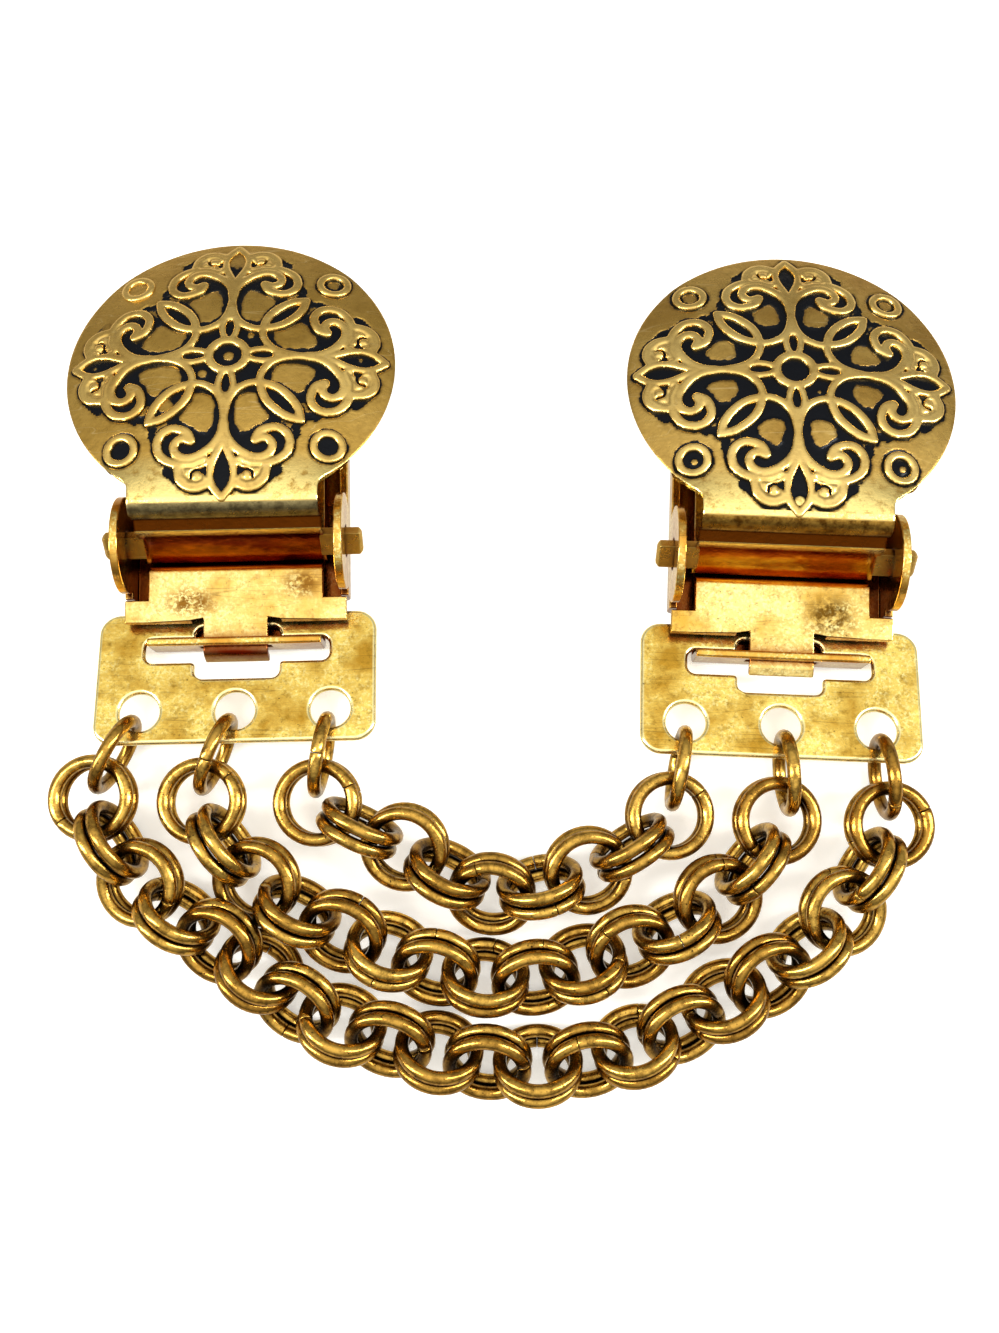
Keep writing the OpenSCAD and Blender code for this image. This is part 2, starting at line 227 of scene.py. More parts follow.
def soften(obj, width, segments):
    """Rolls the sharp edges over, as stamping and tumbling do, and keeps the flats flat."""
    apply_modifier(obj, "BEVEL", width=width, segments=segments, limit_method="ANGLE",
                   angle_limit=math.radians(35), use_clamp_overlap=False)
    select_only(obj)
    bpy.ops.object.shade_smooth_by_angle(angle=math.radians(40))
    apply_modifier(obj, "WEIGHTED_NORMAL", keep_sharp=True)


def across(columns, path):
    """Rows of points over the width, along a side path of (y, z) points."""
    return [[(x, y, z) for x in columns] for y, z in path]


def store(obj, name, values):
    """Keeps one number for each point of the mesh, for a material to read."""
    layer = obj.data.attributes.new(name, "FLOAT", "POINT")
    layer.data.foreach_set("value", np.reshape(values, -1))


def folded_sheet(strips, outlines, thickness, wanted=None):
    """One sheet from strips of rows and from flat outlines that share their edges.

    The edges that the test picks are folded over a radius before the sheet gets its thickness.
    """
    points, faces = [], []
    for rows in strips:
        start, width = len(points), len(rows[0])
        points += [p for row in rows for p in row]
        for r in range(len(rows) - 1):
            for k in range(width - 1):
                a = start + r * width + k
                faces.append((a, a + 1, a + width + 1, a + width))
    for outline in outlines:
        faces.append(tuple(range(len(points), len(points) + len(outline))))
        points += outline
    mesh = bpy.data.meshes.new("sheet")
    mesh.from_pydata(points, [], faces)
    obj = bpy.data.objects.new("sheet", mesh)
    bpy.context.scene.collection.objects.link(obj)
    select_only(obj)
    bpy.ops.object.mode_set(mode="EDIT")
    bpy.ops.mesh.select_all(action="SELECT")
    bpy.ops.mesh.remove_doubles(threshold=0.001)
    bpy.ops.mesh.normals_make_consistent(inside=False)
    bpy.ops.object.mode_set(mode="OBJECT")
    if wanted:
        round_corners(obj, FOLD_R, 4, wanted)
    apply_modifier(obj, "SOLIDIFY", thickness=thickness, offset=0, use_even_offset=True)
    return obj


def arc(centre, radius, start, end, steps):
    """Points on an arc, in degrees from the first axis."""
    turns = [math.radians(start + (end - start) * i / steps) for i in range(steps + 1)]
    return [(centre[0] + radius * math.cos(t), centre[1] + radius * math.sin(t)) for t in turns]


def rounded_path(points, radius, steps=5):
    """The path with its inner corners rounded."""
    result = [points[0]]
    for before, corner, after in zip(points, points[1:], points[2:]):
        a, c, b = Vector(before), Vector(corner), Vector(after)
        to_a, to_b = (a - c).normalized(), (b - c).normalized()
        half = to_a.angle(to_b) / 2
        reach = min(radius / math.tan(half), (a - c).length * 0.45, (b - c).length * 0.45)
        for i in range(steps + 1):
            t = i / steps
            first, last = c + to_a * reach, c + to_b * reach
            result.append(tuple(first * (1 - t) ** 2 + c * 2 * t * (1 - t) + last * t ** 2))
    result.append(points[-1])
    return result


def clip_matrix(side):
    x, y, turn = PLACES[side]
    return Matrix.Translation((x, y, 0)) @ Matrix.Rotation(math.radians(turn), 4, "Z")


def finish_piece(obj, name, matrix, materials, body, nodes=()):
    """Lays a piece where it belongs, in metres, and gives it its finish and its body."""
    obj.data.transform(Matrix.Scale(MM, 4) @ matrix)
    obj.name = name
    obj.data.name = name
    obj.data.materials.clear()
    for material in materials:
        obj.data.materials.append(material)
    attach(obj, body)
    if nodes:
        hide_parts(*nodes)
    return obj


# Finishes

def colour(hex_value):
    """An sRGB hex colour as linear red, green, blue and alpha."""
    channels = [int(hex_value[i:i + 2], 16) / 255 for i in (1, 3, 5)]
    return [c / 12.92 if c <= 0.04045 else ((c + 0.055) / 1.055) ** 2.4 for c in channels] + [1.0]


def add_node(tree, kind, *inputs, out=None, **settings):
    """Adds one node with its settings and returns its output, the first or the one named.

    Inputs are values or other nodes' outputs, in the order of the sockets that the settings
    leave open, or in one dict by socket name. None leaves a socket as it is.
    """
    node = tree.nodes.new("ShaderNode" + kind)
    for name, value in settings.items():
        setattr(node, name, value)
    if inputs and isinstance(inputs[0], dict):
        filled = [(node.inputs[name], value) for name, value in inputs[0].items()]
    else:
        filled = zip([socket for socket in node.inputs if socket.enabled], inputs)
    for socket, value in filled:
        if isinstance(value, bpy.types.NodeSocket):
            tree.links.new(value, socket)
        elif value is not None:
            socket.default_value = value
    if out:
        return node.outputs[out]
    return next((socket for socket in node.outputs if socket.enabled), None)


def new_material(name):
    """An empty material, its node tree, and the place on the piece that its patterns follow."""
    material = bpy.data.materials.new(name)
    material.use_nodes = True
    tree = material.node_tree
    tree.nodes.clear()
    return material, tree, add_node(tree, "TexCoord", out="Object")


def lumps(tree, place, size_mm, detail, rough, stretch=(1, 1, 1), turn=0.0):
    """A cloudy pattern whose lumps are about the given size, drawn out and turned if asked."""
    scale = [s / (size_mm * MM) for s in stretch]
    moved = add_node(tree, "Mapping", {"Vector": place, "Scale": scale, "Rotation": (0, 0, turn)})
    return add_node(tree, "TexNoise", {"Vector": moved, "Scale": 1.0, "Detail": detail,
                                       "Roughness": rough}, out="Fac")


def fine_scratches(tree, place, size_mm, turn, width):
    """Thin lines along a direction, where a drawn-out pattern passes its middle value."""
    lines = lumps(tree, place, size_mm, 2.0, 0.5, stretch=(0.04, 1, 1), turn=turn)
    off = add_node(tree, "Math", lines, 0.5, operation="SUBTRACT")
    away = add_node(tree, "Math", off, operation="ABSOLUTE")
    return add_node(tree, "MapRange", away, 0.0, width, 1.0, 0.0)


def spot(tree, place, centre_mm, size_mm):
    """One within a spot of the piece, with a soft edge, from its place in millimetres."""
    scale = [1 / (s * MM) for s in size_mm]
    offset = [-c / s for c, s in zip(centre_mm, size_mm)]
    moved = add_node(tree, "Mapping", {"Vector": place, "Scale": scale, "Location": offset})
    away = add_node(tree, "VectorMath", moved, operation="LENGTH")
    return add_node(tree, "MapRange", away, 0.35, 1.0, 1.0, 0.0)


def coats(tree, base, *layers):
    """Colours laid over a first one, each as far as its share says."""
    for share, tint in layers:
        base = add_node(tree, "Mix", share, base, tint, data_type="RGBA")
    return base


def dents(tree, *layers, over=None):
    """Unevenness laid over itself: a height, its depth in millimetres and its strength."""
    for height, depth_mm, strength in layers:
        over = add_node(tree, "Bump", {"Height": height, "Distance": depth_mm * MM,
                                       "Strength": strength, "Normal": over})
    return over


def both(tree, share, *others):
    """How far several things hold at once: their shares multiplied."""
    for other in others:
        share = add_node(tree, "Math", share, other, operation="MULTIPLY")
    return share


def cover(tree, inputs):
    """Closes a material with its surface."""
    surface = add_node(tree, "BsdfPrincipled", inputs)
    add_node(tree, "OutputMaterial", surface)


def plated_sheet(name, light, deep, stain, roughness, mottle, specks_show=0.75, stain_at=(),
                 inside=None, shade_spot_at=None):
    """Gold plating on rolled brass sheet: polished once, then worn by rubbing and by fingers.

    The eye gets a bright yellow metal, cloudy in patches of a few millimetres, with painted glints where
    they are light, specks where the plating has pitted, fine hairlines from wear, and tarnished patches.
    Rolled edges get a pale painted highlight where the mesh says so. Where sheet faces sheet, painted
    shade turns the gold a deep amber, standing in for gold seen in gold, and one tongue's turned-down end
    gets a spot of red-brown painted shade.
    """
    material, tree, place = new_material(name)
    clouds = lumps(tree, place, 5.0, 5.0, 0.6)
    patches = lumps(tree, place, 0.9, 6.0, 0.72)
    specks = lumps(tree, place, 0.30, 3.0, 0.6)
    hairs = lumps(tree, place, 0.35, 4.0, 0.6, stretch=(0.05, 1, 1), turn=0.25)
    stained = both(tree, add_node(tree, "MapRange", patches, 0.50, 0.68), mottle)
    for patch in stain_at:
        there = both(tree, spot(tree, place, *patch), add_node(tree, "MapRange", patches, 0.34, 0.52))
        stained = add_node(tree, "Math", stained, there, operation="MAXIMUM")
    # Painted glints: pale yellow specks where the clouds are light
    painted_glints = both(tree, add_node(tree, "MapRange", specks, 0.50, 0.40),
                    add_node(tree, "MapRange", clouds, 0.56, 0.44, 0.0, 0.7))
    rim = add_node(tree, "Attribute", out="Fac", attribute_name="rim")
    lines = add_node(tree, "Math", fine_scratches(tree, place, 2.6, 0.12, 0.006),
                     fine_scratches(tree, place, 3.4, -0.5, 0.004), operation="MAXIMUM")
    lines = both(tree, lines, add_node(tree, "MapRange", clouds, 0.45, 0.6, 0.0, 0.5))
    pits = both(tree, add_node(tree, "MapRange", specks, 0.66, 0.72), specks_show)
    dark = add_node(tree, "Math", pits, lines, operation="MAXIMUM")
    base = coats(tree, colour(light),
                 (add_node(tree, "MapRange", clouds, 0.38, 0.66), colour(deep)),
                 (stained, colour(stain)),
                 # Painted glints
                 (painted_glints, colour("#fff2a6")),
                 # Painted highlight: pale yellow on the rolled edges that the rim attribute marks
                 (both(tree, rim, 0.8), colour("#fff3b4")),
                 (dark, colour("#4a3410")))
    if inside:
        # Painted shade: a deep colour where sheet is hemmed in by sheet, standing in for gold seen in gold
        hidden = add_node(tree, "AmbientOcclusion", {"Distance": 3.5 * MM}, out="AO", samples=8)
        painted_shade = add_node(tree, "MapRange", hidden, 0.92, 0.5, 0.0, 0.97)
        base = coats(tree, base, (painted_shade, colour(inside)))
    if shade_spot_at:
        # Painted shade: a deep red-brown spot where the tongue's end hangs in the shadow of the hook's
        # window
        base = coats(tree, base, (spot(tree, place, *shade_spot_at), colour("#5e1603")))
    polish = add_node(tree, "MapRange", patches, 0.3, 0.75, roughness * 0.7, roughness * 1.6)
    rough = add_node(tree, "Math", polish, add_node(tree, "MapRange", hairs, 0.45, 0.75, 0.0, 0.06),
                     operation="ADD")
    uneven = dents(tree, (clouds, 0.45, 0.30), (patches, 0.05, 0.30), (hairs, 0.01, 0.35))
    cover(tree, {"Base Color": base, "Metallic": 1.0, "Roughness": rough, "Normal": uneven})
    return material


def satin_gold(tree, place, light, deep):
    """Colour, roughness and unevenness of the satin plating that face and relief share."""
    clouds = lumps(tree, place, 7.0, 4.0, 0.6)
    patches = lumps(tree, place, 1.6, 6.0, 0.7)
    grain = lumps(tree, place, 0.22, 4.0, 0.6, stretch=(0.12, 1, 1), turn=0.3)
    base = coats(tree, colour(light),
                 (add_node(tree, "MapRange", clouds, 0.36, 0.66), colour(deep)),
                 (both(tree, add_node(tree, "MapRange", patches, 0.52, 0.70), 0.5), colour("#7d5f28")),
                 (both(tree, fine_scratches(tree, place, 2.2, 0.9, 0.006), 0.35), colour("#efd596")))
    rough = add_node(tree, "MapRange", patches, 0.3, 0.75, 0.22, 0.40)
    return base, rough, dents(tree, (patches, 0.06, 0.35), (grain, 0.012, 0.35))


def enamelled_face(name, ragged_mm, light, deep, neck, amber):
    """Satin gold plating with blue-black enamel wiped into the recesses of the ornament.

    The mesh carries how deep each point lies in a recess; the enamel's edge wanders with a pattern of
    about a millimetre, and it thins to brown where it ends. The edge over the neck gets a painted sheen in
    bright blotches. The neck itself carries a painted dim reflection, and the folds below it carry painted
    light and shade: a brown painted shadow in the valley, then a painted highlight on the ridge, then a
    painted amber reflection that deepens to red with painted shade where sheet faces sheet and has a
    painted highlight in the middle of the hollow.
    """
    material, tree, place = new_material(name)
    recess = add_node(tree, "Attribute", out="Fac", attribute_name="recess")
    fold = add_node(tree, "Attribute", out="Fac", attribute_name="fold")
    neck_sheen = add_node(tree, "Attribute", out="Fac", attribute_name="neck_sheen")
    lens = add_node(tree, "Attribute", out="Fac", attribute_name="lens")
    hidden = add_node(tree, "AmbientOcclusion", {"Distance": 3.0 * MM}, out="AO", samples=8)
    ragged = lumps(tree, place, 0.8, 4.0, 0.62)
    blotches = lumps(tree, place, 1.0, 5.0, 0.7)
    streaks = lumps(tree, place, 2.4, 4.0, 0.6, stretch=(0.45, 1, 1))
    wander = add_node(tree, "MapRange", ragged, 0.25, 0.75, -ragged_mm, ragged_mm)
    depth = add_node(tree, "Math", recess, wander, operation="ADD")
    enamel = add_node(tree, "MapRange", depth, -0.02, 0.07)
    bare = add_node(tree, "MapRange", enamel, 0.0, 1.0, 1.0, 0.0)
    edge = add_node(tree, "MapRange", depth, -0.22, 0.02)
    # Painted sheen: pale blotches on the face's edge over the neck
    bright = both(tree, neck_sheen, add_node(tree, "MapRange", blotches, 0.34, 0.50))
    # Painted reflection: the neck's bend painted dim, the darker room seen in it
    neck_reflection = coats(tree, colour(neck[0]),
                 (add_node(tree, "MapRange", blotches, 0.40, 0.62), colour(neck[1])))
    # Painted reflection: amber streaks in the hollow, gold seen in gold
    hollow_reflection = coats(tree, colour(amber[0]),
                 (add_node(tree, "MapRange", streaks, 0.40, 0.64), colour(amber[1])))
    crest = both(tree, add_node(tree, "MapRange", fold, 0.60, 0.72),
                  add_node(tree, "MapRange", fold, 0.80, 0.92, 1.0, 0.0))
    # Painted shade: dark red-brown where the folds hem each other in, kept off the ridge
    painted_shade = both(tree, add_node(tree, "MapRange", hidden, 0.60, 0.26),
                    add_node(tree, "MapRange", crest, 0.0, 1.0, 1.0, 0.1))
    # Painted highlight: a lens-shaped brighter amber in the middle of the hollow, broken up by streaks
    uneven = add_node(tree, "Math", lens, add_node(tree, "MapRange", streaks, 0.3, 0.7, -0.25, 0.25),
                      operation="ADD")
    gold, gold_rough, gold_dents = satin_gold(tree, place, light, deep)
    base = coats(tree, gold,
                 # Painted sheen over the neck
                 (bright, colour("#ffe590")),
                 (both(tree, edge, 0.55), colour("#5c4018")),
                 # Painted reflection on the neck
                 (add_node(tree, "MapRange", fold, 0.0, 0.25), neck_reflection),
                 # Painted shadow: brown in the valley under the neck's overhang
                 (add_node(tree, "MapRange", fold, 0.25, 0.5), colour("#5e2e06")),
                 # Painted highlight: a bright line on the ridge
                 (add_node(tree, "MapRange", fold, 0.5, 0.75), colour("#ffdf86")),
                 # Painted amber reflection in the hollow
                 (add_node(tree, "MapRange", fold, 0.75, 1.0), hollow_reflection),
                 # Painted shade in the folds
                 (painted_shade, colour("#3a1003")),
                 # Painted highlight in the hollow
                 (add_node(tree, "MapRange", uneven, 0.40, 0.85, 0.0, 0.8), colour(amber[2])),
                 (enamel, colour("#04060b")))
    rough = both(tree, gold_rough,
                 add_node(tree, "MapRange", fold, 0.5, 1.0, 1.0, 0.4),
                 add_node(tree, "MapRange", bright, 0.0, 1.0, 1.0, 0.5),
                 add_node(tree, "MapRange", enamel, 0.0, 1.0, 1.0, 0.7))
    cover(tree, {"Base Color": base, "Metallic": bare, "Roughness": rough,
                 "Specular IOR Level": 0.12,
                 "Normal": dents(tree, (blotches, 0.12, 0.5), (bare, 0.04, 0.5), over=gold_dents)})
    return material


def relief_gold(name, light, deep):
    """The ornament's raised gold: the face's satin plating in lighter colours, a painted highlight for
    crests that catch more light.
    """
    material, tree, place = new_material(name)
    base, rough, uneven = satin_gold(tree, place, light, deep)
    cover(tree, {"Base Color": base, "Metallic": 1.0, "Roughness": both(tree, rough, 0.85),
                 "Normal": uneven})
    return material


def chain_gold():
    """Antiqued gold plating on drawn wire: bright where the rings rub, brown patches of antiquing in
    between, and painted shade where rings lie close together.
    """
    material, tree, place = new_material("Antiqued gold wire")
    tone = add_node(tree, "Attribute", out="Fac", attribute_name="tone")
    hidden = add_node(tree, "AmbientOcclusion", {"Distance": 1.8 * MM}, out="AO", samples=6)
    patches = lumps(tree, place, 1.1, 5.0, 0.66)
    specks = lumps(tree, place, 0.33, 3.0, 0.6)
    base = coats(tree, colour("#d9ae52"),
                 (tone, colour("#ab7f34")),
                 (add_node(tree, "MapRange", patches, 0.44, 0.62, 0.0, 0.75), colour("#664616")),
                 # Painted shade: near-black brown where the rings hem each other in
                 (add_node(tree, "MapRange", hidden, 0.92, 0.38, 0.0, 0.97), colour("#221003")),
                 (both(tree, add_node(tree, "MapRange", specks, 0.63, 0.69), 0.9), colour("#1d1205")))
    cover(tree, {"Base Color": base, "Metallic": 1.0,
                 "Roughness": add_node(tree, "MapRange", patches, 0.3, 0.75, 0.13, 0.32),
                 "Normal": dents(tree, (patches, 0.09, 0.35), (specks, 0.03, 0.3))})
    return material


# The neck colours are a painted reflection; the amber colours are the hollow's painted reflection, then
# its painted highlight
FACE_GOLD = {
    "left": enamelled_face("Enamelled satin gold, left", 0.13, "#cba554", "#ac873c",
                           ("#8a7c54", "#5e5236"), ("#7a2804", "#d67c10", "#dc8a1e")),
    "right": enamelled_face("Enamelled satin gold, right", 0.16, "#cfab5c", "#b08a42",
                            ("#a07a34", "#5a3a10"), ("#b86208", "#f8b428", "#ffd650")),
}
# Lighter golds than the face's: painted highlight on the raised ornament
RELIEF_GOLD = {
    "left": relief_gold("Satin gold relief, left", "#eac774", "#cfa858"),
    "right": relief_gold("Satin gold relief, right", "#f0d080", "#d4b062"),
}
PLATE_GOLD = plated_sheet("Mottled gold plating", "#ffe074", "#bd9030", "#8f6c1e", 0.20, 0.75)
# Tarnished patches, then the colour of painted shade where sheet faces sheet, then a spot of painted shade
# on the left tongue's turned-down end; for patches and spot, their middle and reach in mm
JAW_GOLD = {
    "left": plated_sheet("Polished gold plating, left", "#f6da88", "#d8aa4c", "#875c20", 0.13, 0.5, 0.6,
                         [((-30.3, 5.0, 3.7), (3.6, 1.9, 2.0)), ((-19.6, 6.9, 3.7), (2.6, 2.0, 2.0))],
                         "#7a3206", ((-25.9, 0.2, 2.4), (14.0, 1.15, 3.6))),
    "right": plated_sheet("Polished gold plating, right", "#f5d884", "#d2a444", "#6a4a14", 0.13, 0.55, 0.8,
                          [((31.4, 3.6, 3.7), (3.4, 2.8, 2.0))], "#8a4208"),
}
# Its last colour is the painted shade where sheet faces sheet
BASE_GOLD = plated_sheet("Gold plating on the clip base", "#eabf5e", "#c68c34", "#7a4c18", 0.15, 0.4,
                         inside="#571c04")
CHAIN_GOLD = chain_gold()


# The lever: face, neck, sheet, cam and tabs

NECK_ARC = (2.9, 9.83)
NECK_BEND = 1.6
VALLEY = (1.62, 8.75)
RIDGE = (0.5, 8.15)
CAM = (-0.136, 2.94)
CAM_BEND = 1.2
FOOT_END = 1.06
TAB = (2.6, 1.05)
TAB_TURN = 52
TAB_ROOT = 0.4
TAB_OUT = 1.6


def sheet_path():
    """Side view of the sheet's outer face: neck, valley, ridge, hollow, cam and foot."""
    neck = arc(NECK_ARC, NECK_BEND, 86.5, 205, 14)
    ridge = rounded_path([neck[-1], VALLEY, RIDGE, (0.35, 7.0)], 0.34, 6)[1:-1]
    hollow = [(0.36, 7.2), (0.34, 6.6), (0.26, 6.0), (0.1, 5.3), (-0.2, 4.6), (-0.62, 3.95)]
    cam = arc(CAM, CAM_BEND, 172, 270, 10)
    return neck + ridge + hollow + cam + [((CAM[0] + FOOT_END) / 2, CAM[1] - CAM_BEND),
                                          (FOOT_END, CAM[1] - CAM_BEND)]


def dome_height(u, v):
    """Height of the face over its rim plane; its crossways curve fades into the neck."""
    fade = np.clip((v + 14.7) / 4.2, 0, 1)
    across_part = u * u * fade * fade * (3 - 2 * fade)
    return np.sqrt(DOME_R ** 2 - across_part - v * v) - DOME_DROP


def on_face(u, v, height):
    """Points of the clip's frame, from the face's own u and v and a height over the dome."""
    w = dome_height(u, v)
    lean_u, lean_v = u / DOME_R, v / DOME_R
    up = np.sqrt(1 - lean_u ** 2 - lean_v ** 2)
    u, v, w = u + height * lean_u, v + height * lean_v, w + height * up
    return np.stack([u, DISC_OUT + v * math.cos(DISC_TILT) + w * math.sin(DISC_TILT),
                     RIM_Z - v * math.sin(DISC_TILT) + w * math.cos(DISC_TILT)], -1)


# The ornament. One eighth is drawn, sideways and outward from the middle along an arm, in mm,
# and mirrored for the rest. A ribbon is its width and the points that it follows.
RIBBONS = [
    (0.62, [(0.35, 1.9), (0.66, 2.9), (0.66, 3.9), (0.2, 5.1)]),
    (0.80, [(0, 4.7), (0, 6.4), (0, 8.2)]),
    (0.74, [(0.05, 6.4), (0.35, 5.2), (0.8, 4.3), (1.55, 3.62), (2.45, 3.25), (3.3, 3.2)]),
    (0.84, [(3.25, 3.2), (3.5, 4.35), (4.05, 5.35), (4.95, 6.25), (6.0, 6.9), (7.15, 7.15)]),
    (0.84, [(0.05, 7.6), (0.25, 8.7), (0.8, 9.7), (1.6, 10.45), (2.6, 11.0), (3.6, 11.05),
            (4.35, 10.6), (4.6, 9.9), (4.3, 9.3), (3.7, 9.1), (3.05, 9.35)]),
    (0.86, [(4.0, 11.75), (5.1, 11.3), (5.95, 10.5), (6.2, 9.45), (5.9, 8.6), (5.1, 8.05),
            (4.2, 8.1), (3.4, 8.5), (3.0, 9.25)]),
    (0.74, [(0, 9.3), (0.45, 10.4), (0.95, 11.6), (1.15, 12.8), (0.85, 13.9), (0.05, 14.95)]),
    (0.66, [(1.2, 13.7), (2.3, 14.1), (3.3, 13.9), (4.0, 13.15), (4.2, 12.2)]),
]
CENTRE_RING = (0.85, 1.78, 0)
CORNER_RING = (0.74, 1.32, 9.72)
# The leaf between the scrolls, the nick and the curl that are cut into it
LEAF = [(1.0, 11.2), (1.6, 10.9), (2.8, 11.4), (4.0, 11.4), (4.25, 12.2), (3.95, 13.1),
        (3.2, 13.85), (2.2, 14.0), (1.3, 13.6), (1.25, 12.6)]
NICK = [(1.42, 11.85), (1.42, 12.95), (2.2, 12.3)]
CURL = (0.26, [(2.05, 12.3), (2.45, 12.3), (2.78, 12.55), (2.88, 13.05)])
# Places that enamel fills from edge to edge
MIDDLE = [(-1, -1), (-1, 5), (0.2, 5), (0.8, 4.3), (1.55, 3.62), (2.45, 3.25), (3.3, 3.2),
          (4.2, 3.6), (4, -1)]
OVAL = [(3.2, 3.2), (3.5, 4.35), (4.05, 5.35), (4.95, 6.25), (6.0, 6.9), (7.2, 7.2), (8, 6), (4, 2)]
ARM_END = [(-1, 9.2), (0, 9.2), (0.45, 10.4), (0.95, 11.6), (1.15, 12.8), (0.85, 13.9), (0, 15),
           (-1, 15)]
CRESCENT = [(4.2, 11.3), (5.1, 11.2), (5.8, 10.4), (6.0, 9.45), (5.7, 8.7), (5.0, 8.2),
            (4.2, 8.3), (3.4, 8.7), (3.6, 9.3), (4.4, 9.4), (4.7, 10.0), (4.3, 10.8)]
LEAF_SIDE = [(4.4, 13.5), (5.0, 13.0), (5.5, 12.7), (5.6, 12.1), (5.0, 11.7), (4.4, 12.0)]
SCROLL_FOOT = [(6.3, 7.6), (7.1, 7.55), (7.2, 8.7), (6.7, 9.2)]
# The loop between stem, scroll and diagonal oval, with its island of bare gold
LOOP = [(0, 5.2), (0, 7.6), (0.25, 8.7), (0.8, 9.7), (1.6, 10.45), (2.6, 11.0), (3.6, 11.05),
        (4.35, 10.6), (4.6, 9.9), (4.3, 9.3), (3.7, 9.1), (3.05, 9.35), (3.4, 8.5), (4.2, 8.1),
        (5.1, 8.05), (5.4, 6.6), (4.95, 6.25), (4.05, 5.35), (3.5, 4.35), (3.3, 3.2),
        (2.45, 3.25), (1.55, 3.62), (0.8, 4.3), (0.35, 5.2)]
ISLAND = {
    "left": [(1.0, 5.3), (0.95, 6.4), (1.1, 7.6), (1.6, 8.45), (2.3, 8.3), (3.0, 7.75),
             (3.9, 7.3), (4.2, 6.8), (3.6, 5.95), (3.1, 5.1), (2.9, 4.3), (2.1, 4.35), (1.4, 4.7)],
    "right": [(1.3, 5.9), (1.25, 6.9), (1.5, 7.9), (2.0, 8.4), (2.4, 8.2), (3.0, 7.7),
              (3.65, 7.2), (3.6, 6.4), (3.1, 5.8), (2.3, 5.55), (1.6, 5.65)],
}
# Width of the enamel round the ornament, and spots where it has worn to gold: u, v, size, depth
BORDER = {"left": 0.22, "right": 0.30}
WORN = {
    "left": [(0.1, -0.1, 0.55, 1.0), (-2.3, -2.1, 0.6, 0.8), (2.1, 2.4, 0.5, 0.7),
             (-5.6, -5.4, 0.9, 0.8), (0, 12.9, 1.7, 0.62), (-9.72, 9.72, 1.8, 1.3),
             (9.72, 9.72, 0.8, 0.75), (-13.0, -0.2, 0.4, 0.5), (12.6, 0.1, 0.5, 0.5),
             (-12.5, 3.5, 1.6, 0.4), (-11.8, 5.2, 1.8, 0.5), (-2.5, 14.8, 2.0, 0.5),
             (3.0, 14.6, 2.0, 0.4)],
    "right": [(-9.72, 9.72, 0.75, 1.0), (9.72, 9.72, 0.7, 1.0), (-9.6, -9.9, 0.35, 0.9),
              (9.9, -9.8, 0.4, 0.9), (0.1, -13.8, 0.55, 1.0), (-2.8, 14.8, 1.8, 0.4),
              (2.2, -2.4, 0.35, 0.6)],
}
RELIEF_H = 0.23
RECESS_H = 0.13
# A groove follows the leaf's outline: how far in, how wide and how deep
LEAF_RIM = 0.62
LEAF_GROOVE = 0.17
LEAF_SINK = 0.14


def smooth_line(points, steps=10):
    """A smooth line through the points."""
    pts = [Vector(p) for p in points]
    pts = [2 * pts[0] - pts[1]] + pts + [2 * pts[-1] - pts[-2]]
    line = []
    for a, b, c, d in zip(pts, pts[1:], pts[2:], pts[3:]):
        for i in range(steps):
            t = i / steps
            line.append((2 * b + (c - a) * t + (2 * a - 5 * b + 4 * c - d) * t * t
                         + (3 * b - a - 3 * c + d) * t ** 3) / 2)
    return line + [pts[-2]]


def line_gap(points, b, a):
    """Distance from a line of points."""
    pts = np.array([(p[0], p[1]) for p in points])
    gap = np.full(b.shape, 99.0)
    for start, step in zip(pts[:-1], pts[1:] - pts[:-1]):
        t = np.clip(((b - start[0]) * step[0] + (a - start[1]) * step[1]) / (step @ step), 0, 1)
        gap = np.minimum(gap, np.hypot(b - start[0] - t * step[0], a - start[1] - t * step[1]))
    return gap


def shape_gap(outline, b, a):
    """Distance from an outline, negative inside it."""
    inside = np.zeros(b.shape, bool)
    for p, q in zip(outline, outline[1:] + outline[:1]):
        if p[1] != q[1]:
            crosses = (p[1] > a) != (q[1] > a)
            inside ^= crosses & (b < (q[0] - p[0]) * (a - p[1]) / (q[1] - p[1]) + p[0])
    gap = line_gap(outline + outline[:1], b, a)
    return np.where(inside, -gap, gap)


def ring_gap(ring, b, a):
    width, radius, out = ring
    return np.abs(np.hypot(b - out, a - out) - radius) - width / 2


def one_eighth(u, v):
    return np.minimum(np.abs(u), np.abs(v)), np.maximum(np.abs(u), np.abs(v))


def relief_gap(u, v):
    """Distance from the raised gold, negative on it; its parts run into each other."""
    b, a = one_eighth(u, v)
    gaps = [ring_gap(CENTRE_RING, b, a), ring_gap(CORNER_RING, b, a), shape_gap(LEAF, b, a)]
    gaps += [line_gap(smooth_line(points), b, a) - width / 2 for width, points in RIBBONS]
    blend = 0.06
    gap = -blend * np.log(sum(np.exp(-np.clip(g, -2, 9) / blend) for g in gaps))
    curl = line_gap(smooth_line(CURL[1]), b, a) - CURL[0] / 2
    return np.maximum(gap, -np.minimum(shape_gap(NICK, b, a), curl))


def enamel_depth(side, u, v, gap):
    """How far inside the enamel each point lies, negative on bare gold."""
    b, a = one_eighth(u, v)
    depth = BORDER[side] - np.maximum(gap, 0)
    filled = np.hypot(b - CORNER_RING[2], a - CORNER_RING[2]) < CORNER_RING[1]
    for outline in (MIDDLE, OVAL, ARM_END, CRESCENT, LEAF_SIDE, SCROLL_FOOT, LEAF):
        filled |= shape_gap(outline, b, a) < 0
    depth = np.where(filled, 0.5, depth)
    depth = np.where(shape_gap(LOOP, b, a) < 0, shape_gap(ISLAND[side], b, a), depth)
    depth = np.clip(depth, -1, 0.5)
    for x, y, size, worn in WORN[side]:
        depth -= worn * np.exp(-((u - x) ** 2 + (v - y) ** 2) / size ** 2)
    return depth


RELIEF_CELL = 0.125


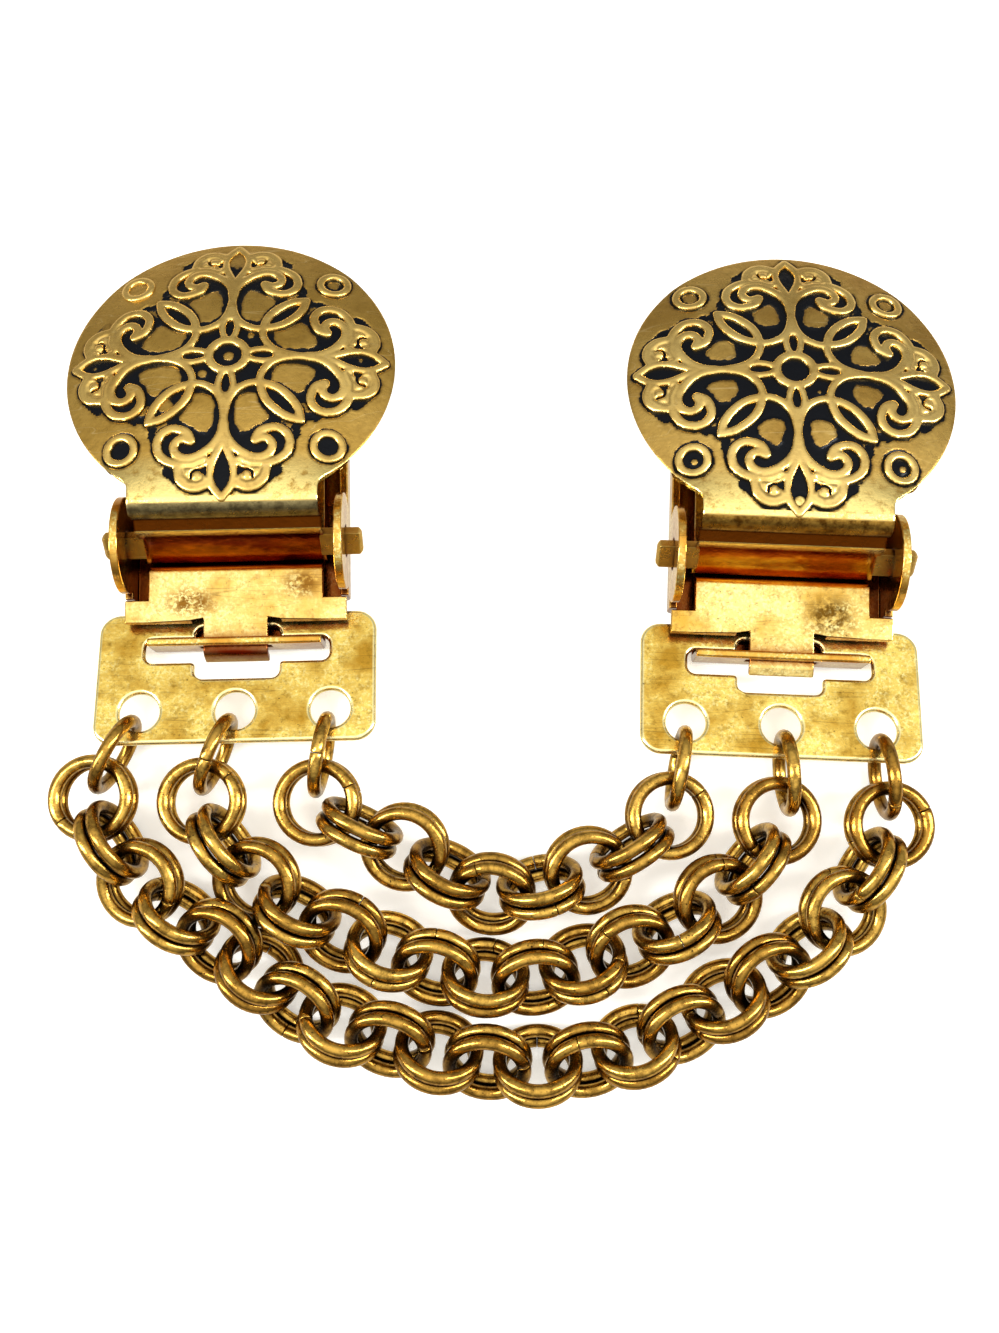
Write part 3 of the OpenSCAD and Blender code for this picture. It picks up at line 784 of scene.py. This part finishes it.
def ornament_mesh():
    """The raised gold: a flat top with rolled edges, cut out along the ornament's outline."""
    half = math.ceil(DISC_R / RELIEF_CELL)
    at = np.arange(-half, half + 1) * RELIEF_CELL
    u, v = np.meshgrid(at, at, indexing="ij")
    gap = relief_gap(u, v)
    gap[np.hypot(u, v) > DISC_R - 0.1] = 1.0
    gap = np.where(np.abs(gap) < 0.004, -0.004, gap)
    points, index, faces = [], {}, []

    def corner(i, j):
        if (i, j) not in index:
            index[(i, j)] = len(points)
            points.append((u[i, j], v[i, j], gap[i, j]))
        return index[(i, j)]

    def crossing(p, q):
        key = (min(p, q), max(p, q))
        if key not in index:
            g, h = gap[key[0]], gap[key[1]]
            t = min(0.9, max(0.1, g / (g - h)))
            index[key] = len(points)
            points.append((u[key[0]] * (1 - t) + u[key[1]] * t,
                           v[key[0]] * (1 - t) + v[key[1]] * t, 0.0))
        return index[key]

    on = gap < 0
    near = on[:-1, :-1] | on[1:, :-1] | on[1:, 1:] | on[:-1, 1:]
    for i, j in np.argwhere(near).tolist():
        ring = [(i, j), (i + 1, j), (i + 1, j + 1), (i, j + 1)]
        face = []
        for p, q in zip(ring, ring[1:] + ring[:1]):
            if on[p]:
                face.append(corner(*p))
            if on[p] != on[q]:
                face.append(crossing(p, q))
        if len(face) > 2:
            faces.append(face)
    flat = np.array(points)
    edge = np.clip(-flat[:, 2] / 0.16, 0, 1)
    height = RELIEF_H * (0.5 + 0.5 * np.sin(edge * math.pi / 2))
    height += 0.02 * np.clip(-flat[:, 2] / 0.4, 0, 1)
    b, a = one_eighth(flat[:, 0], flat[:, 1])
    off_groove = (shape_gap(LEAF, b, a) + LEAF_RIM) / LEAF_GROOVE
    height -= LEAF_SINK * np.exp(-off_groove ** 2)
    count = len(flat)
    mesh = bpy.data.meshes.new("ornament")
    below = on_face(flat[:, 0], flat[:, 1], np.full(count, -0.25))
    above = on_face(flat[:, 0], flat[:, 1], height)
    sides = {}
    for face in faces:
        for p, q in zip(face, face[1:] + face[:1]):
            if (q, p) in sides:
                del sides[(q, p)]
            else:
                sides[(p, q)] = True
    walls = [(q, p, p + count, q + count) for p, q in sides]
    floor = [[p + count for p in face[::-1]] for face in faces]
    mesh.from_pydata(np.concatenate([above, below]).tolist(), [], faces + walls + floor)
    obj = bpy.data.objects.new("ornament", mesh)
    bpy.context.scene.collection.objects.link(obj)
    select_only(obj)
    bpy.ops.object.shade_smooth_by_angle(angle=math.radians(50))
    return obj


FACE_COLUMNS = 168
FAR_ROWS = 86
NEAR_ROWS = 80
FACE_ENDS_AT = -14.72
EDGE_ROLL = 0.07
# Rows of the side view between which the neck carries its painted dim reflection, and where the face gets
# a painted sheen
NECK_FROM = 3
NECK_TO = 12
SHEEN_FROM = 10.2
SHEEN_OVER = 3.0


def face_grid():
    """Columns and rows over the face: bowed to the rim in the far half, straight to the neck."""
    share = np.linspace(-1, 1, FACE_COLUMNS + 1)[None, :]
    t = np.linspace(1, 0, FAR_ROWS + 1)[:, None]
    far_u = share * np.sqrt(1 - t * t / 2) * DISC_R
    far_v = t * np.sqrt(1 - share * share / 2) * DISC_R
    v = np.linspace(0, FACE_ENDS_AT, NEAR_ROWS + 1)[1:, None]
    half = np.sqrt(DISC_R ** 2 - v * v)
    over = half - NECK_W / 2
    rounded = NECK_W / 2 + (over + np.sqrt(over * over + 0.25)) / 2
    half += (rounded - half) * np.clip((-v - 10) / 2.5, 0, 1)
    near_u = share * half
    return np.concatenate([far_u, near_u]), np.concatenate([far_v, v + 0 * share])


def store_folds(obj, depth, v, path, reach):
    """Tells the face's material where it is: in the enamel, on the painted sheen by the neck, or in a
    fold.

    A fold is 0.25 on the neck's painted dim reflection, 0.5 in the valley's painted brown shadow, 0.75 on
    the ridge's painted highlight and 1 in the hollow's painted amber reflection. The mesh's rows run from
    the foot to the far rim.
    """
    below = len(path)
    ridge = min(range(below), key=lambda i: math.dist(path[i], RIDGE))
    recess = np.full((below + len(depth), len(reach)), -1.0)
    recess[below:] = depth[::-1]
    fold = np.zeros(recess.shape)
    for i in range(NECK_FROM, below):
        fold[below - 1 - i] = 0.25 if i < NECK_TO else 0.5 if i < ridge - 1 else 0.75
    hollow = below - 5 - ridge
    fold[:hollow] = 1.0
    lens = np.zeros(recess.shape)
    lens[:hollow] = np.outer(np.sin(np.linspace(0.15, 0.95, hollow) * np.pi),
                             1 - (reach / reach[-1]) ** 2)
    neck_sheen = np.zeros(recess.shape)
    neck_sheen[below:] = np.clip((-v[::-1] - SHEEN_FROM) / SHEEN_OVER, 0, 1)
    neck_sheen[below - NECK_FROM:below] = 1.0
    for name, values in (("recess", recess), ("fold", fold), ("lens", lens), ("neck_sheen", neck_sheen)):
        store(obj, name, values)


def lever_sheet(side):
    """The face, neck, sheet and cam as one bent sheet, with the ornament's ground sunk in."""
    u, v = face_grid()
    gap = relief_gap(u, v)
    depth = enamel_depth(side, u, v, gap)
    sunk = np.clip(depth / 0.22, 0, 1)
    top = on_face(u, v, -RECESS_H * sunk * sunk * (3 - 2 * sunk))
    path = sheet_path()
    reach = u[-1]
    down = np.array([[(x, y, z) for x in reach] for y, z in path])
    rows = np.concatenate([top, down])
    along, aside = np.gradient(rows, axis=0), np.gradient(rows, axis=1)
    inward = np.cross(aside, along)
    inward /= np.linalg.norm(inward, axis=2, keepdims=True)
    rolled = np.zeros(rows.shape[:2])
    rolled[:, (0, -1)] = rolled[(0, -1), :] = EDGE_ROLL
    rows += inward * rolled[:, :, None]
    bpy.ops.mesh.primitive_grid_add(
        x_subdivisions=FACE_COLUMNS, y_subdivisions=len(u) + len(path) - 1, size=2)
    obj = bpy.context.active_object
    obj.data.vertices.foreach_set("co", rows[::-1].reshape(-1))
    store_folds(obj, depth, v, path, reach)
    obj.data.update()
    outside = len(obj.data.vertices)
    apply_modifier(obj, "SOLIDIFY", thickness=SHEET_T, offset=-1, use_even_offset=False)
    # The underside has no enamel
    for point in obj.data.attributes["recess"].data[outside:]:
        point.value = -1.0
    select_only(obj)
    bpy.ops.object.shade_smooth_by_angle(angle=math.radians(42))
    return obj


def lever_tabs():
    """The two ends of the hinge bar that stand out through the cheeks, with broken corners."""
    tabs = []
    for hand in (-1, 1):
        inner, outer = sorted((hand * (NECK_W / 2 - TAB_ROOT), hand * (BASE_W / 2 + TAB_OUT)))
        tab = block((inner, -TAB[0] / 2, -TAB[1] / 2), (outer, TAB[0] / 2, TAB[1] / 2))
        round_corners(tab, TAB_CORNER, 1,
                      lambda a, b: abs(a.x - b.x) < NEAR and abs(a.x) > BASE_W / 2)
        tab.data.transform(Matrix.Translation((0, 0, HINGE_Z))
                           @ Matrix.Rotation(math.radians(TAB_TURN), 4, "X"))
        soften(tab, TAB_EDGE_R, 2)
        store(tab, "recess", [-1.0] * len(tab.data.vertices))
        tabs.append(tab)
    return tabs


def join(parts):
    bpy.ops.object.select_all(action="DESELECT")
    for part in parts:
        part.select_set(True)
    bpy.context.view_layer.objects.active = parts[0]
    bpy.ops.object.join()
    return bpy.context.active_object


# The clip's base and its jaw plate

def cheek_outline(x):
    """One side wall with its round cheek, from the side."""
    dip = SIDE_H - HINGE_Z
    start = math.degrees(math.asin(dip / CHEEK_R))
    round_edge = arc((0, HINGE_Z), CHEEK_R, start, 180 - start, 56)
    side = [(BASE_FRONT - SHEET_T / 2, SHEET_T / 2), (BASE_FRONT - SHEET_T / 2, SIDE_H)]
    side += round_edge + [(-SIDE_FROM, SIDE_H), (-SIDE_FROM, SHEET_T / 2)]
    return [(x, y, z) for y, z in side]


def clip_base():
    """The channel that carries the lever, with its cheeks, its front lip and its hook."""
    wall = (BASE_W - SHEET_T) / 2
    low, front, hook = SHEET_T / 2, BASE_FRONT - SHEET_T / 2, -HOOK_AT - SHEET_T / 2
    floor = across((-wall, -HOOK_W / 2, HOOK_W / 2, wall), [(front, low), (-SIDE_FROM, low)])
    lip = across((-HOOK_W / 2, HOOK_W / 2), [(front, LIP_H), (front, low)])
    hook_path = rounded_path([(-SIDE_FROM, low), (hook, low), (hook, HOOK_H)], HOOK_BEND_R)
    strip = across((-HOOK_W / 2, HOOK_W / 2), hook_path)

    def fold(p, q):
        level = max(abs(p.z - low), abs(q.z - low)) < NEAR
        along_side = max(abs(abs(p.x) - wall), abs(p.x - q.x)) < NEAR
        at_lip = max(abs(p.y - front), abs(q.y - front)) < NEAR
        return level and (along_side or at_lip and max(abs(p.x), abs(q.x)) < wall - 1)

    base = folded_sheet([floor, lip, strip], [cheek_outline(-wall), cheek_outline(wall)], SHEET_T, fold)
    base = cut(base, rod(HINGE_HOLE_R, (-BASE_W, 0, HINGE_Z), (BASE_W, 0, HINGE_Z), 40))
    window, above = TONGUE_W / 2 + WINDOW_PLAY[0], WINDOW_PLAY[1]
    base = cut(base, block((-window, -HOOK_AT - 2, TONGUE_Z - above),
                           (window, -HOOK_AT + 1, TONGUE_Z + JAW_T + above)))
    round_corners(base, HOOK_CORNER_R, 4, lambda a, b: min(a.z, b.z) > HOOK_H - 0.02
                  and max(a.y, b.y) < -HOOK_AT + 0.1 and abs(a.y - b.y) < 0.01)
    soften(base, EDGE_R, 3)
    return base


def jaw_plate(side):
    """Front, floor, riser, panel and tongue, bent from one sheet."""
    panel_z = TONGUE_Z + JAW_T / 2
    notch = TONGUE_W / 2 + TONGUE_NOTCH
    inner = [-PANEL_W / 2, -notch, -TONGUE_W / 2, TONGUE_W / 2, notch, PANEL_W / 2]
    outer = [-SHOULDER_W / 2] + inner + [SHOULDER_W / 2]
    front, end = JAW_FRONT - JAW_T / 2, -PANEL_END + JAW_T / 2
    path = [(front, LIP_H - 0.05)] + rounded_path(
        [(front, JAW_Z), (RISER[0], JAW_Z), (RISER[1], panel_z), (-SHOULDER_AT, panel_z)], JAW_BEND_R)
    turned = [(end, panel_z), (end, TONGUE_Z - JAW_T / 2)]
    outside = -HOOK_AT - SHEET_T
    tongue = rounded_path([(end, panel_z), (outside - 0.5, panel_z),
                           (outside - TONGUE_RUN[side], panel_z - TONGUE_DROP[side])], TONGUE_BEND_R)
    strips = [across(inner, path), across(outer, [(-SHOULDER_AT, panel_z), (end, panel_z)]),
              across(outer[:3], turned), across(outer[-3:], turned), across(inner[2:4], tongue)]
    plate = folded_sheet(strips, [], JAW_T)
    soften(plate, EDGE_R, 3)
    return plate


def end_plate():
    """The stamped plate, in the frame of its bar."""
    t = SHEET_T / 2
    plate = block((-PLATE_W / 2, BAR_W / 2 - PLATE_L, -t), (PLATE_W / 2, BAR_W / 2, t))
    round_corners(plate, PLATE_CORNER_R, 10, upright)
    far = -BAR_W / 2 - SLOT_H
    slot = block((-SLOT_W / 2, far, -2), (SLOT_W / 2, -BAR_W / 2, 2))
    round_corners(slot, SLOT_CORNER_R, 7, upright)
    notch = block((-NOTCH_W / 2, far - NOTCH_DOWN, -2), (NOTCH_W / 2, -BAR_W / 2 + NOTCH_UP, 2))
    round_corners(notch, SLOT_CORNER_R, 7, upright)
    plate = cut(plate, slot)
    plate = cut(plate, notch)
    hole_y = BAR_W / 2 - PLATE_L + HOLE_WEB + HOLE_R
    for i in (-1, 0, 1):
        plate = cut(plate, rod(HOLE_R, (i * HOLE_PITCH, hole_y, -2), (i * HOLE_PITCH, hole_y, 2), 56))
    soften(plate, PLATE_EDGE_R, 5)
    # Marks the rolled edges, which the plating material paints with a pale highlight
    store(plate, "rim", [1.0 if abs(vertex.co.z) < t - 0.003 else 0.0 for vertex in plate.data.vertices])
    return plate


def plate_matrix(side):
    return (clip_matrix(side) @ Matrix.Translation((0, -BAR_AT, BAR_Z))
            @ Matrix.Rotation(-PLATE_TILT, 4, "X"))


# The rings and strands

def wire_ring():
    """A ring of round wire, bent shut: its two cut ends meet at a hairline joint."""
    bpy.ops.mesh.primitive_circle_add(vertices=12, radius=WIRE_D / 2, location=(RING_R, 0, 0),
                                      rotation=(math.pi / 2, 0, 0), fill_type="NGON")
    obj = bpy.context.active_object
    bpy.ops.object.transform_apply(location=True, rotation=True, scale=True)
    turn = 2 * math.pi - math.radians(RING_CUT)
    bpy.ops.object.mode_set(mode="EDIT")
    bpy.ops.mesh.select_all(action="SELECT")
    bpy.ops.mesh.spin(steps=44, angle=turn, center=(0, 0, 0), axis=(0, 0, 1))
    bpy.ops.mesh.select_all(action="SELECT")
    bpy.ops.mesh.normals_make_consistent(inside=False)
    bpy.ops.object.mode_set(mode="OBJECT")
    apply_modifier(obj, "BEVEL", width=WIRE_EDGE_R, segments=2, limit_method="ANGLE",
                   angle_limit=math.radians(50))
    select_only(obj)
    bpy.ops.object.shade_smooth_by_angle(angle=math.radians(50))
    return obj


def ring_copy(model, matrix, chance):
    """One ring of its own: turned to a joint of its own, a little out of round and of tone."""
    ring = model.copy()
    ring.data = model.data.copy()
    bpy.context.scene.collection.objects.link(ring)
    squeeze = 1 + chance.uniform(-OUT_OF_ROUND, OUT_OF_ROUND)
    ring.data.transform(matrix @ Matrix.Diagonal((squeeze, 2 - squeeze, 1, 1))
                        @ Matrix.Rotation(chance.uniform(0, 2 * math.pi), 4, "Z"))
    store(ring, "tone", [chance.random()] * len(ring.data.vertices))
    return ring


def ring_middle(side, i):
    """Middle of a jump ring: outside the end plate's edge, standing on the table."""
    x0, y0, turn = PLACES[side]
    swing = math.radians(RING_TURNS[side][i])
    edge = -BAR_AT - (PLATE_L - BAR_W / 2) * math.cos(PLATE_TILT)
    x = (i - 1) * HOLE_PITCH + RING_REACH * math.sin(swing)
    y = edge + HOLE_WEB + HOLE_R - RING_REACH * math.cos(swing)
    a = math.radians(turn)
    return Vector((x0 + x * math.cos(a) - y * math.sin(a), y0 + x * math.sin(a) + y * math.cos(a)))


def jump_ring_matrix(side, i):
    middle = ring_middle(side, i)
    turn = math.radians(PLACES[side][2] + RING_TURNS[side][i])
    return (Matrix.Translation((middle.x, middle.y, RING_D / 2 + SEAT / 2))
            @ Matrix.Rotation(turn, 4, "Z") @ Matrix.Rotation(math.pi / 2, 4, "Y"))


def tilt(k, n):
    """How far the pair leans from flat, in degrees: every second pair starts upright."""
    return (90 if k % 2 == 0 else 0) - LINK_TILT * min(1, min(k, n - k) / SETTLE)


def half_height(angle):
    """How high the middle of a leaning pair is over the table."""
    a = math.radians(angle)
    return RING_R * abs(math.sin(a)) + TWIN / 2 * abs(math.cos(a)) + WIRE_D / 2 + SEAT / 2


def link_matrices(strand):
    """Where each pair of rings lies, between the strand's two jump rings."""
    i, j = STRAND_ENDS[strand]
    points = [ring_middle("left", i)] + [Vector(p) for p in ROUTES[strand]] + [ring_middle("right", j)]
    line = smooth_line(points, 16)
    run = [0.0]
    for a, b in zip(line, line[1:]):
        run.append(run[-1] + (b - a).length)
    n = 2 * round(run[-1] / LINK_PITCH / 2)
    at = [run[-1] * k / n for k in range(n + 1)]
    xs = np.interp(at, run, [p.x for p in line])
    ys = np.interp(at, run, [p.y for p in line])
    for k in range(1, n):
        heading = math.atan2(ys[k + 1] - ys[k - 1], xs[k + 1] - xs[k - 1])
        z = max(half_height(tilt(m, n)) for m in range(max(0, k - 1), min(n, k + 1) + 1))
        lie = (Matrix.Translation((xs[k], ys[k], z)) @ Matrix.Rotation(heading, 4, "Z")
               @ Matrix.Rotation(-math.radians(tilt(k, n)), 4, "X"))
        for half in (-TWIN / 2, TWIN / 2):
            yield lie @ Matrix.Translation((0, 0, half))


# Pieces

def make_clip(side):
    place = clip_matrix(side)
    lever = join([lever_sheet(side)] + lever_tabs())
    finish_piece(lever, side + "_lever_sheet", place, [FACE_GOLD[side]], side + "_arm",
                 [side + "_lever"])
    finish_piece(ornament_mesh(), side + "_face_ornament", place, [RELIEF_GOLD[side]],
                 side + "_arm")
    finish_piece(clip_base(), side + "_base", place, [BASE_GOLD], side + "_clip",
                 [side + "_clip_base"])
    finish_piece(jaw_plate(side), side + "_jaw", place, [JAW_GOLD[side]], side + "_jaw",
                 [side + "_jaw_plate"])
    finish_piece(end_plate(), side + "_plate", plate_matrix(side), [PLATE_GOLD], "chain",
                 [side + "_end_plate"])


def make_chain():
    chance = random.Random(7)
    model = wire_ring()
    here = Matrix.Identity(4)
    for side in ("left", "right"):
        for i in range(3):
            ring = ring_copy(model, jump_ring_matrix(side, i), chance)
            node = "%s_jump_ring_%d" % (side, i + 1)
            finish_piece(ring, node + "_wire", here, [CHAIN_GOLD], "chain", [node])
    for strand in ROUTES:
        rings = [ring_copy(model, matrix, chance) for matrix in link_matrices(strand)]
        finish_piece(join(rings), strand + "_strand", here, [CHAIN_GOLD], "chain",
                     ["strand_" + strand])
    bpy.data.objects.remove(model)


make_clip("left")
make_clip("right")
make_chain()


# Floor, light and camera

# The floor lies a hair under the clips, so that no two faces share a place
FLOOR_Z = -0.12
FLOOR_SIZE = 12
# Light that comes from each height over the horizon (0 level, 1 overhead), from the camera's
# side and from beyond the clips
BEFORE = [(0.0, 0.05), (0.15, 0.09), (0.35, 0.18), (0.55, 0.34), (0.75, 0.56), (0.9, 0.90), (1.0, 1.0)]
BEYOND = [(0.0, 0.14), (0.2, 0.19), (0.45, 0.30), (0.68, 0.50), (0.84, 0.68), (0.93, 0.98), (1.0, 1.0)]
ROOM_LIGHT = 1.8
# Two long lamps, one over each clip: where they stand, in metres, and their size and power
LAMPS = {"window": (-0.42, -0.05, 0.34), "lamp": (0.45, 0.02, 0.36)}
LAMP_SIZE = (0.10, 0.5)
LAMP_POWER = 3.0
# The photo's view: where it looks and from how far, in mm, how steeply, and its lens
LOOKS_AT = (-0.5, -0.7, 0)
LOOKS_FROM = 146
LOOKS_DOWN = math.radians(81)
LENS = 40.08
LENS_SENSOR = 36


def make_floor():
    """White paper lit from below. Its image in the metal is no brighter than the paper looks."""
    bpy.ops.mesh.primitive_plane_add(size=FLOOR_SIZE, location=(0, 0, FLOOR_Z * MM))
    floor = bpy.context.active_object
    floor.name = "floor"
    material, tree, place = new_material("White paper, lit from below")
    paper = add_node(tree, "BsdfPrincipled", {
        "Base Color": colour("#f8f7f2"), "Roughness": 0.85,
        "Emission Color": colour("#fffdf6"), "Emission Strength": 0.45})
    image = add_node(tree, "Emission", {"Color": colour("#fbf1de"), "Strength": 0.95})
    mirrored = add_node(tree, "LightPath", out="Is Glossy Ray")
    add_node(tree, "OutputMaterial", add_node(tree, "MixShader", mirrored, paper, image))
    floor.data.materials.append(material)


def make_world():
    """A white room seen in the metal: bright overhead, dimmer towards the far walls."""
    world = bpy.data.worlds.new("room")
    bpy.context.scene.world = world
    world.use_nodes = True
    tree = world.node_tree
    tree.nodes.clear()
    way = add_node(tree, "TexCoord", out="Generated")
    sides = []
    for stops in (BEFORE, BEYOND):
        shade = add_node(tree, "ValToRGB", add_node(tree, "SeparateXYZ", way, out="Z"))
        elements = shade.node.color_ramp.elements
        while len(elements) < len(stops):
            elements.new(0.5)
        for element, (at, value) in zip(elements, stops):
            element.position = at
            element.color = (value, value * 0.99, value * 0.95, 1)
        sides.append(shade)
    beyond = add_node(tree, "MapRange", add_node(tree, "SeparateXYZ", way, out="Y"), -0.15, 0.15)
    folds = add_node(tree, "TexNoise", {"Vector": way, "Scale": 3.2, "Detail": 2.0}, out="Fac")
    light = coats(tree, sides[0],
                  (beyond, sides[1]),
                  (add_node(tree, "MapRange", folds, 0.50, 0.66, 0.0, 0.38), (0.30, 0.25, 0.16, 1)),
                  (add_node(tree, "LightPath", out="Is Camera Ray"), (0.9, 0.9, 0.88, 1)))
    back = add_node(tree, "Background", {"Color": light, "Strength": ROOM_LIGHT})
    add_node(tree, "OutputWorld", back)


def make_lamps():
    for name, place in LAMPS.items():
        data = bpy.data.lights.new(name, "AREA")
        data.shape = "RECTANGLE"
        data.size, data.size_y = LAMP_SIZE
        data.energy = LAMP_POWER
        lamp = bpy.data.objects.new(name, data)
        bpy.context.scene.collection.objects.link(lamp)
        lamp.location = place
        lamp.rotation_euler = (-Vector(place)).to_track_quat("-Z", "Y").to_euler()


def make_camera():
    """Looks down at the photo's angle, from the chain's side."""
    target = Vector(LOOKS_AT) * MM
    data = bpy.data.cameras.new("camera")
    data.lens = LENS
    data.sensor_width = LENS_SENSOR
    data.clip_start = 0.01
    camera = bpy.data.objects.new("camera", data)
    bpy.context.scene.collection.objects.link(camera)
    camera.location = target + LOOKS_FROM * MM * Vector((0, -math.cos(LOOKS_DOWN), math.sin(LOOKS_DOWN)))
    camera.rotation_euler = (target - camera.location).to_track_quat("-Z", "Y").to_euler()
    bpy.context.scene.camera = camera


make_floor()
make_world()
make_lamps()
make_camera()
bpy.context.scene.view_settings.view_transform = "Standard"
